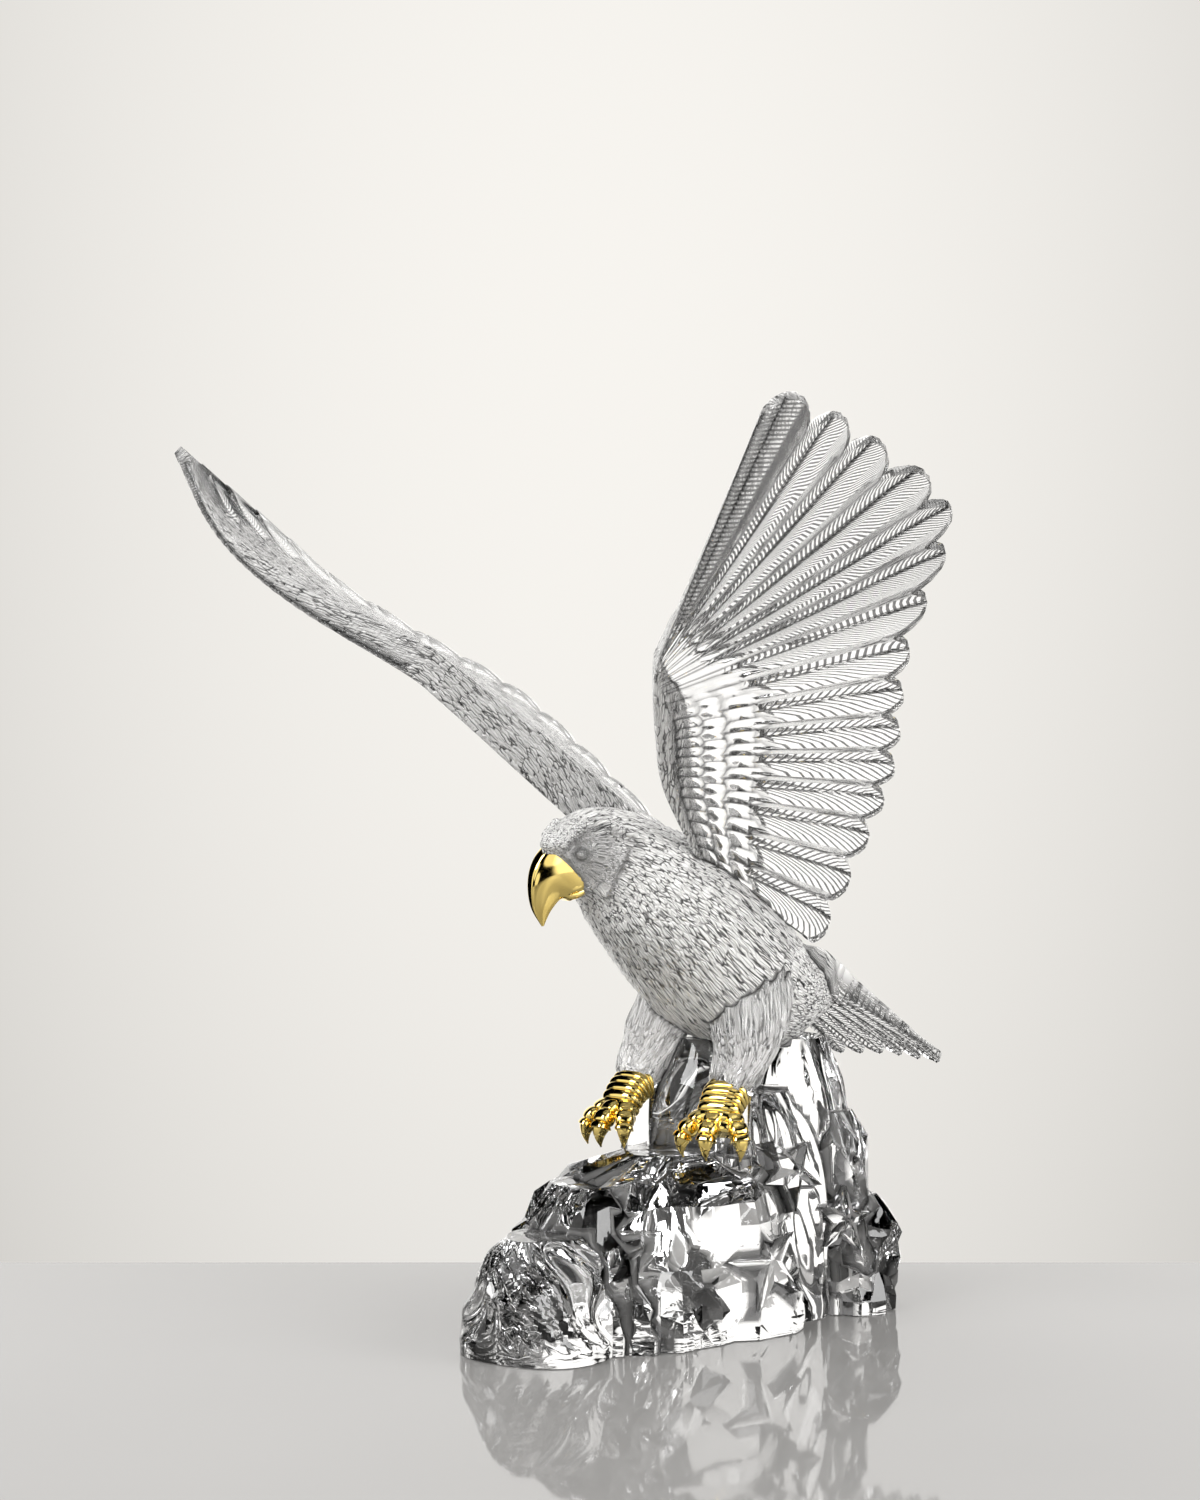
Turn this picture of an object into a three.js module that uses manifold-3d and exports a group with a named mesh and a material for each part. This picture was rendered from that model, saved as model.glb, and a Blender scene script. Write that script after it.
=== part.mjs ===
import * as THREE from 'three';
import Module from 'manifold-3d';

// Eagle alighting on a rock, carved from one block of clear crystal,
// with a gilt beak and two gilt feet. Millimetres, Z up, the bird faces -Y.

// Overall pose of the bird
const BODY_PITCH = 31;
const SHOULDER_Y = -10;
const SHOULDER_Z = 247;
const SHOULDER_X = 30;
const WING_RAISE = 30;

// Wing: fifteen flight feathers, numbered from the wing tip inwards.
// Each row is a feather number, the distance out and the distance forward of the shoulder.
const WING_FEATHERS = 15;
const LEAD_LINE = [[0, 57, 124], [6, 47, 111], [9, 30, 84], [12, 11, 49], [15, -6, -6]];
const TIP_LINE = [[0, 195, 238], [1, 206, 216], [2.5, 215, 181], [4.5, 219, 125], [7.5, 156, 56],
  [10.5, 108, -11], [12.5, 69, -50], [15, 2, -110]];
// The leading edge of the hand bows down and forward; the far wing is twisted more than the near one
const HAND_BOW = 18;
const HAND_BOW_OUT = 0.58;
const HAND_BOW_FORWARD = 0.96;
const HAND_FEATHERS = 6;
const TRAIL_LIFT = { left: 0, right: 0.2 };
const ROOT_HALF_THICKNESS = 9;
const HAND_HALF_THICKNESS = 5;
const TIP_HALF_THICKNESS = 1.7;
const FEATHER_NOTCH = 0.085;
const SHINGLE_STEP = 1.5;
const RACHIS_RIDGE = 0.6;
const COVERT_END = 0.4;
const COVERT_STEP = 1.1;

// Tail: six feathers spread in a narrow fan
const TAIL_FEATHERS = 6;
const TAIL_ROOT_Y = 92;
const TAIL_ROOT_Z = 190;
const TAIL_PITCH = 33;
const TAIL_LENGTH = 120;
const TAIL_ROOT_HALF_WIDTH = 17;
const TAIL_END_HALF_WIDTH = 40;
const TAIL_HALF_THICKNESS = 6;

// Body sections from the face to the rump:
// forward of the shoulders, height, half width, half depth, side shift
const BODY_SECTIONS = [
  [66, 244, 9, 9, -8], [59, 246, 16, 16, -7], [45, 247, 22, 21, -5], [28, 240, 27, 27, -3],
  [10, 227, 34, 35, 0], [-12, 210, 40, 41, 0], [-45, 188, 42, 41, 0], [-80, 172, 36, 33, 0],
  [-108, 167, 26, 20, 0], [-128, 160, 17, 10, 0]];
const BODY_RINGS = 25;
const BODY_SIDES = 22;
const TUFT_RELIEF = 0.025;

// Brow ridge over each eye: forward, height, distance from the middle of the head, half thickness
const BROW_SECTIONS = [[63, 249, 5, 2.5], [58, 254, 10, 4.5], [47, 258, 14, 5],
  [36, 257, 15, 4], [28, 254, 16, 2]];
const BROW_SIDES = 6;

// Legs from the thigh to the ankle: forward, height, half width, half depth
const LEG_SPREAD = 32;
const LEG_RINGS = 9;
const LEG_SIDES = 12;
const LEG_SECTIONS = [[-54, 182, 20, 28], [-50, 162, 21, 27], [-42, 147, 17, 20], [-31, 133, 13, 14],
  [-25, 118, 10, 10], [-24, 100, 9, 9], [-24, 80, 11, 11]];

// Beak: forward of the shoulders, height, half width, half height and droop of each section
const BEAK_RINGS = 11;
const BEAK_SIDES = 12;
const BEAK_SECTIONS = [[42, 236, 8, 13, 8], [52, 235, 9.5, 14.5, 12], [60, 233, 9, 13.5, 25],
  [67, 228, 6.5, 9.5, 50], [69.5, 218, 3.6, 5.5, 80], [68.5, 209, 1, 1.6, 95]];
const BEAK_SIDE = -10;
const HEAD_TURN = 18;

// Feet: ankle, spread of the three front toes and the scutes on each
const ANKLE_FORWARD = -17;
const ANKLE_Z = 115;
const FOOT_YAW = { left: 16, right: 0 };
const TOE_FAN = 34;
const TOE_REACH = 24;
const TOE_DROP = 22;
const TOE_RADIUS = 4.4;
const TOE_SCUTES = 4;
const INSTEP_PLATES = 6;
const PLATE_STEP = 0.07;
const CLAW_START = 0.72;

// Rock lobes: side shift, forward, half width, half length, height,
// share left at the top, facets, turn in degrees
const ROCK_LOBES = [
  [0, -14, 60, 76, 90, 0.66, 13, 8],
  [-8, 33, 50, 50, 78, 0.6, 10, 24],
  [-2, 74, 38, 40, 52, 0.58, 9, 20],
  [4, -70, 50, 46, 116, 0.45, 11, 10],
  [10, -100, 36, 36, 142, 0.5, 9, 12],
  [20, -106, 40, 32, 103, 0.62, 8, 5],
  [22, -112, 42, 30, 60, 0.8, 8, 30],
  [-26, -62, 38, 56, 78, 0.6, 10, 15]];
const ROCK_BAND = 7;
const ROCK_ROUGHNESS = 0.06;

// Stars in relief: side, forward, height, radius, turn, direction they face round the rock and upward
const STARS = [[57, -19, 38, 26, 12, 8, 18], [47, -53, 78, 20, 30, 10, 14], [54, -88, 50, 18, -8, 20, 10]];
const STAR_INNER = 0.4;
const STAR_RELIEF = 5;

const FIT_GAP = 0.3;

const rad = THREE.MathUtils.degToRad;
const lerp = THREE.MathUtils.lerp;
const along = new THREE.Vector3(0, -Math.cos(rad(BODY_PITCH)), Math.sin(rad(BODY_PITCH)));
const dorsal = new THREE.Vector3(0, Math.sin(rad(BODY_PITCH)), Math.cos(rad(BODY_PITCH)));

const wasm = await Module();
wasm.setup();

// Smooth curve through rows of numbers whose first entry is the position along the curve
function curveThrough(rows) {
  return (t) => {
    let k = 0;
    while (k < rows.length - 2 && t > rows[k + 1][0]) k += 1;
    const before = rows[Math.max(k - 1, 0)];
    const start = rows[k];
    const end = rows[k + 1];
    const after = rows[Math.min(k + 2, rows.length - 1)];
    const span = end[0] - start[0];
    const f = (t - start[0]) / span;
    return start.slice(1).map((value, c) => {
      const goal = end[c + 1];
      const chord = (goal - value) / span;
      const s0 = before === start ? chord : (goal - before[c + 1]) / (end[0] - before[0]);
      const s1 = after === end ? chord : (after[c + 1] - value) / (after[0] - start[0]);
      const a = f * f * f;
      const b = f * f;
      return (2 * a - 3 * b + 1) * value + (a - 2 * b + f) * span * s0
        + (3 * b - 2 * a) * goal + (a - b) * span * s1;
    });
  };
}

// Closed body from a stack of rings, each ring a list of points, capped at both ends
function loft(rings) {
  const n = rings[0].length;
  const points = rings.flat();
  const faces = [];
  for (let i = 0; i < rings.length - 1; i += 1) {
    for (let j = 0; j < n; j += 1) {
      const a = i * n + j;
      const b = i * n + (j + 1) % n;
      faces.push(a, b, b + n, a, b + n, a + n);
    }
  }
  [0, rings.length - 1].forEach((row) => {
    const middle = rings[row].reduce((sum, p) => sum.add(p), new THREE.Vector3()).divideScalar(n);
    points.push(middle);
    for (let j = 0; j < n; j += 1) {
      const a = row * n + j;
      const b = row * n + (j + 1) % n;
      if (row === 0) faces.push(points.length - 1, b, a);
      else faces.push(points.length - 1, a, b);
    }
  });
  return solid(points, faces);
}

// Closed slab between an upper and a lower grid of points of the same size
function slab(upper, lower) {
  const rows = upper.length;
  const cols = upper[0].length;
  const points = [...upper.flat(), ...lower.flat()];
  const below = rows * cols;
  const faces = [];
  for (let i = 0; i < rows - 1; i += 1) {
    for (let j = 0; j < cols - 1; j += 1) {
      const a = i * cols + j;
      faces.push(a, a + cols, a + cols + 1, a, a + cols + 1, a + 1);
      const b = below + a;
      faces.push(b, b + cols + 1, b + cols, b, b + 1, b + cols + 1);
    }
  }
  const rim = [];
  for (let j = 0; j < cols - 1; j += 1) rim.push(j);
  for (let i = 0; i < rows - 1; i += 1) rim.push(i * cols + cols - 1);
  for (let j = cols - 1; j > 0; j -= 1) rim.push((rows - 1) * cols + j);
  for (let i = rows - 1; i > 0; i -= 1) rim.push(i * cols);
  rim.forEach((a, k) => {
    const b = rim[(k + 1) % rim.length];
    faces.push(a, b, below + b, a, below + b, below + a);
  });
  return solid(points, faces);
}

// Solid from points and triangles, turned so that its faces point outwards
function solid(points, faces) {
  const geometry = new THREE.BufferGeometry().setFromPoints(points);
  const make = (index) => {
    geometry.setIndex(index);
    return new wasm.Manifold(new wasm.Mesh({
      numProp: 3,
      vertProperties: new Float32Array(geometry.attributes.position.array),
      triVerts: new Uint32Array(geometry.index.array),
    }));
  };
  const body = make(faces);
  if (body.volume() > 0) return body;
  const turned = [];
  for (let k = 0; k < faces.length; k += 3) turned.push(faces[k], faces[k + 2], faces[k + 1]);
  return make(turned);
}

// Point of a wing from its distance out, forward and above the wing sheet
function wingPoint(side, out, forward, above) {
  const c = Math.cos(rad(WING_RAISE));
  const s = Math.sin(rad(WING_RAISE));
  const lift = out * s + above * c;
  return new THREE.Vector3(side * (SHOULDER_X + out * c - above * s), SHOULDER_Y, SHOULDER_Z)
    .addScaledVector(dorsal, lift)
    .addScaledVector(along, forward);
}

const leadAt = curveThrough(LEAD_LINE);
const tipAt = curveThrough(TIP_LINE);
const WING_COLUMNS = [0.03, 0.3, 0.64, 0.97];
const WING_ROWS = [0, 0.02, 0.14, COVERT_END - 0.01, COVERT_END + 0.02, 0.9, 1];

// One wing as a slab of overlapping feathers, thick along the arm and thin at the feather tips
function wing(side) {
  const upper = [];
  const lower = [];
  WING_ROWS.forEach((s) => {
    const up = [];
    const down = [];
    for (let i = 0; i < WING_FEATHERS; i += 1) {
      WING_COLUMNS.forEach((w) => {
        const q = i + w;
        const lead = leadAt(q);
        const tip = tipAt(q);
        const reach = s * (1 - FEATHER_NOTCH * Math.abs(2 * w - 1) ** 2.2);
        const out = lerp(lead[0], tip[0], reach);
        const forward = lerp(lead[1], tip[1], reach);
        const inner = THREE.MathUtils.smoothstep(q, 4, WING_FEATHERS);
        const root = lerp(HAND_HALF_THICKNESS, ROOT_HALF_THICKNESS, inner);
        const nose = Math.min(1, 0.35 + s * 30);
        const vane = THREE.MathUtils.smoothstep(s, 0.05, COVERT_END);
        const covert = s < COVERT_END ? COVERT_STEP : 0;
        const half = (TIP_HALF_THICKNESS + (root - TIP_HALF_THICKNESS) * (1 - s) ** 1.5 + covert) * nose;
        const shingle = vane * (SHINGLE_STEP * (w - 0.5) + RACHIS_RIDGE * (w === WING_COLUMNS[1] ? 1 : 0));
        const bow = HAND_BOW * Math.sin(Math.PI * Math.min(s, 1)) * Math.max(0, 1 - q / HAND_FEATHERS);
        const lift = (side > 0 ? TRAIL_LIFT.left : TRAIL_LIFT.right) * THREE.MathUtils.smoothstep(q, 5, 10);
        const camber = lift * Math.hypot(out - lead[0], forward - lead[1]) - bow - shingle * 0.5;
        const outAt = out + HAND_BOW_OUT * bow;
        const forwardAt = forward + HAND_BOW_FORWARD * bow;
        up.push(wingPoint(side, outAt, forwardAt, camber + half * 1.6));
        down.push(wingPoint(side, outAt, forwardAt, camber - half * 0.4));
      });
    }
    upper.push(up);
    lower.push(down);
  });
  return slab(upper, lower);
}

// Tail fan
function tail() {
  const upper = [];
  const lower = [];
  const back = new THREE.Vector3(0, Math.cos(rad(TAIL_PITCH)), -Math.sin(rad(TAIL_PITCH)));
  [0, 0.3, 0.36, 0.7, 0.92, 1].forEach((s) => {
    const up = [];
    const down = [];
    for (let i = 0; i < TAIL_FEATHERS; i += 1) {
      [0.04, 0.5, 0.72, 0.96].forEach((w) => {
        const q = ((i + w) / TAIL_FEATHERS) * 2 - 1;
        const reach = s * (1 - 0.07 * Math.abs(2 * w - 1) ** 2.2);
        const length = TAIL_LENGTH * reach;
        const x = q * lerp(TAIL_ROOT_HALF_WIDTH, TAIL_END_HALF_WIDTH, reach);
        const half = lerp(TAIL_HALF_THICKNESS, 1.7, Math.min(1, s * 1.3)) + (s < 0.33 ? 1 : 0);
        const step = (w === 0.5 ? 0.7 : 0) - Math.abs(q) * 3 * reach;
        const p = new THREE.Vector3(x, TAIL_ROOT_Y, TAIL_ROOT_Z).addScaledVector(back, length);
        up.push(p.clone().addScaledVector(dorsal, half + step));
        down.push(p.clone().addScaledVector(dorsal, step - half));
      });
    }
    upper.push(up);
    lower.push(down);
  });
  return slab(upper, lower);
}

// Ring of points around a centre, spanned by two directions
function ring(centre, across, rise, n, swell = () => 1) {
  const points = [];
  for (let j = 0; j < n; j += 1) {
    const a = (2 * Math.PI * j) / n;
    const r = swell(a, j);
    const point = centre.clone().addScaledVector(across, Math.cos(a) * r);
    points.push(point.addScaledVector(rise, Math.sin(a) * r));
  }
  return points;
}

// Head, neck and trunk as one loft along the spine
function trunk() {
  const at = curveThrough(BODY_SECTIONS.map((row, k) => [k, ...row]));
  const last = BODY_SECTIONS.length - 1;
  const rings = [];
  for (let i = 0; i < BODY_RINGS; i += 1) {
    const t = (last * i) / (BODY_RINGS - 1);
    const [f, z, halfWidth, halfDepth, shift] = at(t);
    const ahead = at(Math.max(t - 0.05, 0));
    const behind = at(Math.min(t + 0.05, last));
    const axis = new THREE.Vector3(0, behind[0] - ahead[0], ahead[1] - behind[1]).normalize();
    const rise = new THREE.Vector3(0, axis.z, -axis.y).multiplyScalar(-1);
    const centre = new THREE.Vector3(shift, SHOULDER_Y - f, z);
    const relief = TUFT_RELIEF * THREE.MathUtils.smoothstep(t, 1.5, 4);
    const tuft = (a, j) => 1 + ((i + j) % 2 ? relief : -relief);
    const across = new THREE.Vector3(halfWidth, 0, 0);
    rings.push(ring(centre, across, rise.multiplyScalar(halfDepth), BODY_SIDES, tuft));
  }
  return loft(rings);
}

// One brow ridge, turned with the head
function brow(side) {
  const rings = BROW_SECTIONS.map(([f, z, off, half]) => {
    const turned = BODY_SECTIONS[2][4] - Math.sin(rad(HEAD_TURN)) * (f - BODY_SECTIONS[3][0]) * 0.5;
    const centre = new THREE.Vector3(turned + side * off, SHOULDER_Y - f, z);
    return ring(centre, new THREE.Vector3(half, 0, 0), new THREE.Vector3(0, half * 0.4, half), BROW_SIDES);
  });
  return loft(rings);
}

// One feathered leg
function leg(side) {
  const at = curveThrough(LEG_SECTIONS.map((row, k) => [k, ...row]));
  const rings = [];
  for (let i = 0; i < LEG_RINGS; i += 1) {
    const [f, z, halfWidth, halfDepth] = at((LEG_SECTIONS.length - 1) * i / (LEG_RINGS - 1));
    const centre = new THREE.Vector3(side * LEG_SPREAD, SHOULDER_Y - f, z);
    const across = new THREE.Vector3(halfWidth, 0, 0);
    rings.push(ring(centre, across, new THREE.Vector3(0, halfDepth * 0.9, halfDepth * 0.45), LEG_SIDES));
  }
  return loft(rings);
}

// Gilt beak, a hooked loft turned with the head
function beak() {
  const at = curveThrough(BEAK_SECTIONS.map((row, k) => [k, ...row]));
  const across = new THREE.Vector3(Math.cos(rad(HEAD_TURN)), -Math.sin(rad(HEAD_TURN)), 0);
  const ahead = new THREE.Vector3(-Math.sin(rad(HEAD_TURN)), -Math.cos(rad(HEAD_TURN)), 0);
  const start = BEAK_SECTIONS[1][0];
  const rings = [];
  for (let i = 0; i < BEAK_RINGS; i += 1) {
    const [f, z, halfWidth, halfHeight, droop] = at((BEAK_SECTIONS.length - 1) * i / (BEAK_RINGS - 1));
    const centre = new THREE.Vector3(BEAK_SIDE, SHOULDER_Y - start, z).addScaledVector(ahead, f - start);
    const rise = new THREE.Vector3(0, 0, Math.cos(rad(droop))).addScaledVector(ahead, Math.sin(rad(droop)));
    const wide = across.clone().multiplyScalar(halfWidth);
    rings.push(ring(centre, wide, rise.multiplyScalar(halfHeight), BEAK_SIDES));
  }
  return loft(rings);
}

// Tube of rings along a path, its radius and height given at each step
function tube(path, radius, steps, sides) {
  const rings = [];
  for (let i = 0; i <= steps; i += 1) {
    const t = i / steps;
    const ahead = path(Math.min(t + 0.02, 1)).sub(path(Math.max(t - 0.02, 0))).normalize();
    const across = new THREE.Vector3().crossVectors(ahead, new THREE.Vector3(0, 0, 1)).normalize();
    const rise = new THREE.Vector3().crossVectors(across, ahead);
    const [a, b] = radius(t);
    rings.push(ring(path(t), across.multiplyScalar(a), rise.multiplyScalar(b), sides));
  }
  return loft(rings);
}

// Gilt foot: a plated instep and three toes of square scutes, each ending in a claw
function foot(side) {
  const ankle = new THREE.Vector3(side * LEG_SPREAD, SHOULDER_Y - ANKLE_FORWARD, ANKLE_Z);
  const heading = (degrees) => new THREE.Vector3(Math.sin(rad(degrees)), -Math.cos(rad(degrees)), 0);
  const yaw = side > 0 ? FOOT_YAW.left : FOOT_YAW.right;
  const forward = heading(yaw);
  const instep = (t) => ankle.clone()
    .addScaledVector(forward, lerp(-6, 12, t))
    .add(new THREE.Vector3(0, 0, lerp(5, -13, t * t)));
  const plates = (t) => {
    const plate = 1 + PLATE_STEP * (1 - (t * INSTEP_PLATES) % 1);
    return [lerp(11.5, 10.5, t) * plate, lerp(8.5, 6, t) * plate];
  };
  let body = tube(instep, plates, INSTEP_PLATES * 2, 10);
  [-1, 0, 1].forEach((k) => {
    const aim = heading(yaw + k * TOE_FAN);
    const root = ankle.clone().addScaledVector(aim, 3).add(new THREE.Vector3(0, 0, -3));
    const path = (t) => root.clone()
      .addScaledVector(aim, 0.86 * TOE_REACH * Math.sin(t * 1.9))
      .add(new THREE.Vector3(0, 0, -TOE_DROP * t ** 1.5));
    const radius = (t) => {
      const scute = 1 + 0.16 * Math.sin(Math.PI * ((t / CLAW_START) * TOE_SCUTES % 1));
      const claw = lerp(TOE_RADIUS * 0.9, 0.5, (t - CLAW_START) / (1 - CLAW_START));
      const r = t < CLAW_START ? TOE_RADIUS * scute : claw;
      return [r, r];
    };
    body = body.add(tube(path, radius, 14, 6));
  });
  return body;
}

// One faceted lobe of the rock, a stack of many-sided rings drawn in towards its top
function lobe([side, forward, halfWidth, halfLength, height, topShare, facets, turn]) {
  const levels = [[0, 0.97], [ROCK_BAND, 1], [height * 0.45, lerp(1, topShare, 0.3)],
    [height * 0.82, lerp(1, topShare, 0.75)], [height, topShare * 0.8]];
  const rings = levels.map(([z, share], level) => {
    const points = [];
    for (let j = 0; j < facets; j += 1) {
      const a = rad(turn) + (2 * Math.PI * j) / facets;
      const r = share * (1 + ROCK_ROUGHNESS * Math.sin(j * 2.4 + level * 1.7 + side));
      const x = side + halfWidth * r * Math.cos(a);
      const y = SHOULDER_Y - forward + halfLength * r * Math.sin(a);
      points.push(new THREE.Vector3(x, y, z));
    }
    return points;
  });
  return loft(rings);
}

// Five-pointed star, a low faceted pyramid
function star([side, forward, height, radius, turn, round, up]) {
  const facing = new THREE.Vector3(Math.cos(rad(round)), -Math.sin(rad(round)), Math.tan(rad(up))).normalize();
  const across = new THREE.Vector3().crossVectors(new THREE.Vector3(0, 0, 1), facing).normalize();
  const rise = new THREE.Vector3().crossVectors(facing, across);
  const centre = new THREE.Vector3(side, SHOULDER_Y - forward, height);
  const outline = (share, out) => {
    const points = [];
    for (let j = 0; j < 10; j += 1) {
      const a = rad(turn + 90 + 36 * j);
      const r = radius * share * (j % 2 ? STAR_INNER : 1);
      const point = centre.clone().addScaledVector(facing, out).addScaledVector(across, r * Math.cos(a));
      points.push(point.addScaledVector(rise, r * Math.sin(a)));
    }
    return points;
  };
  return loft([outline(1, -14), outline(1, 0), outline(0.04, STAR_RELIEF)]);
}

// Cut a solid clear of another with a small gap on every side
function clearOf(body, other) {
  let left = body;
  [[1, 0, 0], [-1, 0, 0], [0, 1, 0], [0, -1, 0], [0, 0, 1], [0, 0, -1]].forEach((way) => {
    left = left.subtract(other.translate(way.map((v) => v * FIT_GAP)));
  });
  const pieces = left.decompose();
  return pieces.sort((a, b) => b.volume() - a.volume())[0];
}

function mesh(name, body, colour, roughness, metalness) {
  const data = body.getMesh();
  const geometry = new THREE.BufferGeometry();
  geometry.setAttribute('position', new THREE.BufferAttribute(new Float32Array(data.vertProperties), 3));
  geometry.setIndex(new THREE.BufferAttribute(new Uint32Array(data.triVerts), 1));
  geometry.computeVertexNormals();
  const material = new THREE.MeshStandardMaterial({ color: colour, roughness, metalness });
  const part = new THREE.Mesh(geometry, material);
  part.name = name;
  return part;
}

const pairs = [wing, leg, brow].flatMap((make) => [make(1), make(-1)]);
const bird = pairs.reduce((sum, part) => sum.add(part), trunk().add(tail()));
const rock = ROCK_LOBES.map(lobe).reduce((sum, part) => sum.add(part));
const crystal = STARS.map(star).reduce((sum, part) => sum.add(part), bird.add(rock));

const group = new THREE.Group();
group.add(mesh('crystal', crystal, 0xe9eced, 0.08, 0));
group.add(mesh('beak', clearOf(beak(), crystal), 0xd8ae4c, 0.12, 1));
group.add(mesh('talon_left', clearOf(foot(1), crystal), 0xd8ae4c, 0.18, 1));
group.add(mesh('talon_right', clearOf(foot(-1), crystal), 0xd8ae4c, 0.18, 1));
export default group;
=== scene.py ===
import bpy
import numpy as np
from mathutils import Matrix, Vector


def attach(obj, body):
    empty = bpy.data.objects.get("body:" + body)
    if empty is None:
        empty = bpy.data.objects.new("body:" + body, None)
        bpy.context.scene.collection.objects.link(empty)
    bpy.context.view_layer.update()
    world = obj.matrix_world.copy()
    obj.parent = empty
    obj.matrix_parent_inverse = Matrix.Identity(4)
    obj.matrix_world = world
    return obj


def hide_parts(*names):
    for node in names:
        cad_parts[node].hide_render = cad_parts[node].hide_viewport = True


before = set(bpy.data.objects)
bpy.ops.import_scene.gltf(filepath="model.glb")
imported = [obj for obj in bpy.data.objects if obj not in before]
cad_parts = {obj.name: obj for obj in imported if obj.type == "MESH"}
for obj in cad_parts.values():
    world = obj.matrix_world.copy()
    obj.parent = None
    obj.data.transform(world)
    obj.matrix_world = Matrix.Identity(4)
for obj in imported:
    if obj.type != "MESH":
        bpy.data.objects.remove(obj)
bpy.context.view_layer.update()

# Wings: two fans of fifteen flight feathers, carved in the same block of crystal as the body.
# The underside is cut and polished: a rachis, slanting barbs and rows of lens-shaped coverts.
# The arm along the leading edge is left satin. All sizes are millimetres until the mesh is made.
BODY_PITCH = np.radians(31)
SHOULDER = np.array([30.0, -10.0, 247.0])
WING_RAISE = np.radians(30)
FEATHERS = 15
LEAD_LINE = [[0, 57, 124], [6, 47, 111], [9, 30, 84], [12, 11, 49], [15, -6, -6]]
TIP_LINE = [[0, 195, 238], [1, 206, 216], [2.5, 215, 181], [4.5, 219, 125], [7.5, 156, 56],
            [10.5, 108, -11], [12.5, 69, -50], [15, 2, -110]]
VANE_COLUMNS = np.array([0.0, 0.03, 0.13, 0.265, 0.305, 0.345, 0.5, 0.68, 0.86, 0.97])
RACHIS = 0.305
RACHIS_HALF = 0.02
ARM_ROWS = [0, 0.008, 0.02, 0.05]
COVERT_START = 0.085
COVERT_END = 0.40
COVERT_ROWS = 18
COVERT_RANKS = 3
COVERT_DEPTH = 1.5
HAND_COVERT = 0.14
WRIST_COVERTS = (4.5, 8.5)  # feathers over which the coverts grow long
WRIST_LENSES = (5.5, 8.5)  # and the lens cuts begin
WRIST_VANES = (8.0, 5.0)  # and the vanes become those of the hand
BARBS = 22
BARB_ROWS = (0.412, 0.965)
TIP_ROWS = [0.985, 1.0]
BARB_LEAN = (0.10, 0.26)  # narrow vane, broad vane
BARB_SLANT = (0.9, 1.6)
BARB_CLOSE = (0.45, 0.7)
BARB_CUT = 0.3
FEATHER_NOTCH = 0.085
TIP_ROUND = 2.2
VANE_THICK = 1.7
COVERT_THICK = 1.1
SHOULDER_THICK = 4.0
ARM_THICK = {1: 5.0, -1: 8.0}  # left wing, right wing
EDGE_THIN = 0.3
UPPER_SHARE = 1.6
LOWER_SHARE = 0.4
UPPER_RELIEF = 0.4
BLADE_RISE = (0.3, 0.7)  # at the rachis, and lost to the edge
RACHIS_DEPTH = 0.7
TIP_LIP = 0.8
HAND_BOW = 18.0
HAND_FEATHERS = 6.0
HAND_SWEEP = (0.58, 0.96)  # outwards, forwards
TRAIL_LIFT = {1: 0.0, -1: 0.2}
ARM_SATIN = {1: 0.13, -1: 0.75}
ARM_STROKES = {1: 1.5, -1: 2.2}
# Painted shade on the satin arm, more of it on the far wing
ARM_PAINTED_SHADE = {1: 0.25, -1: 0.5}
ARM_AIM = np.array([0.6, 0.8])
VANE_LINES = 0.8
HAND_LINES = 0.5
HAND_CLOSE = 1.45
SEAM_WIDTH = (0.022, 0.057)  # arm feathers, hand feathers
# Painted shade along the seams and the rachis of the vanes, with a share of it on the upper side
SEAM_PAINTED_SHADE = 0.8
UPPER_PAINTED_SHADE = 0.35

along = np.array([0.0, -np.cos(BODY_PITCH), np.sin(BODY_PITCH)])
dorsal = np.array([0.0, np.sin(BODY_PITCH), np.cos(BODY_PITCH)])


def smooth_line(rows, t):
    """Cubic through rows of [position, values], its slope at each row that of the chord of its neighbours."""
    rows = np.asarray(rows, float)
    x, y = rows[:, 0], rows[:, 1:]
    slope = np.empty_like(y)
    slope[1:-1] = (y[2:] - y[:-2]) / (x[2:] - x[:-2])[:, None]
    slope[0] = (y[1] - y[0]) / (x[1] - x[0])
    slope[-1] = (y[-1] - y[-2]) / (x[-1] - x[-2])
    t = np.asarray(t, float)
    k = np.clip(np.searchsorted(x, t, side="right") - 1, 0, len(x) - 2)
    span = (x[k + 1] - x[k])[..., None]
    f = (t - x[k])[..., None] / span
    a, b = f ** 3, f ** 2
    return ((2 * a - 3 * b + 1) * y[k] + (a - 2 * b + f) * span * slope[k]
            + (3 * b - 2 * a) * y[k + 1] + (a - b) * span * slope[k + 1])


def ease(x, start, end):
    """Smooth step from 0 at start to 1 at end."""
    f = np.clip((x - start) / (end - start), 0, 1)
    return f * f * (3 - 2 * f)


def bell(x, width):
    """1 at zero, falling away on both sides over a width."""
    return np.exp(-(x / width) ** 2)


def grid_quads(rows, columns, first=0, wrap=False):
    """Corner numbers of the faces of a grid of points, closed round its columns when wrap is set."""
    i = np.arange(rows - 1)[:, None]
    j = np.arange(columns if wrap else columns - 1)[None, :]
    k = (j + 1) % columns
    quads = np.stack([i * columns + j, (i + 1) * columns + j, (i + 1) * columns + k, i * columns + k], -1)
    return quads.reshape(-1, 4) + first


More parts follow.
